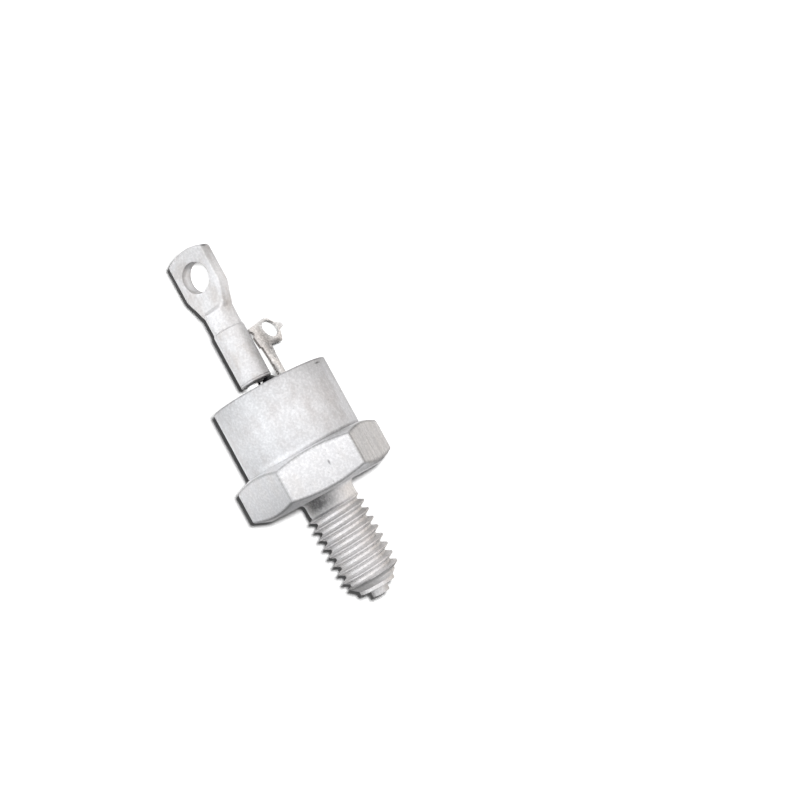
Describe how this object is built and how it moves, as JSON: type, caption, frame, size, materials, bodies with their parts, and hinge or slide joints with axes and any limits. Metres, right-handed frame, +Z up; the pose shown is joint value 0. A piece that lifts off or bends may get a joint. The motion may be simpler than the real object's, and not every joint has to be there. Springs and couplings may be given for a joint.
{
  "type": "silicon controlled rectifier",
  "caption": "Stud-mounted thyristor: plated hex base with a threaded stud, a round can with a glass seal, a pierced cathode lug and a small gate eye.",
  "frame": {"origin": "centre of the mounting seat under the hex, on the device axis", "axes": "+X along the device axis from the seat towards the terminals, with the stud towards -X; +Z up, with the part lying on one flat of its hex"},
  "size_m": [0.0405, 0.0162, 0.014],
  "materials": {
    "plated_base": "satin",
    "plated_can": "satin",
    "plated_terminal": "satin",
    "header_steel": "satin",
    "dark_glass": "gloss",
    "solder": "satin",
    "contact_disc": "matte",
    "silicon": "gloss",
    "silicone": "matte",
    "copper_lead": "satin"
  },
  "bodies": {
    "root": {"stud_base": "plated_base", "case_can": "plated_can", "header_ring": "header_steel", "glass_seal": "dark_glass", "cathode_post": "header_steel", "cathode_lug": "plated_terminal", "gate_terminal": "plated_terminal", "base_solder": "solder", "lower_disc": "contact_disc", "silicon_pellet": "silicon", "junction_coat": "silicone", "cathode_solder": "solder", "cathode_disc": "contact_disc", "cathode_lead": "copper_lead", "gate_lead": "header_steel"}
  },
  "joints": []
}
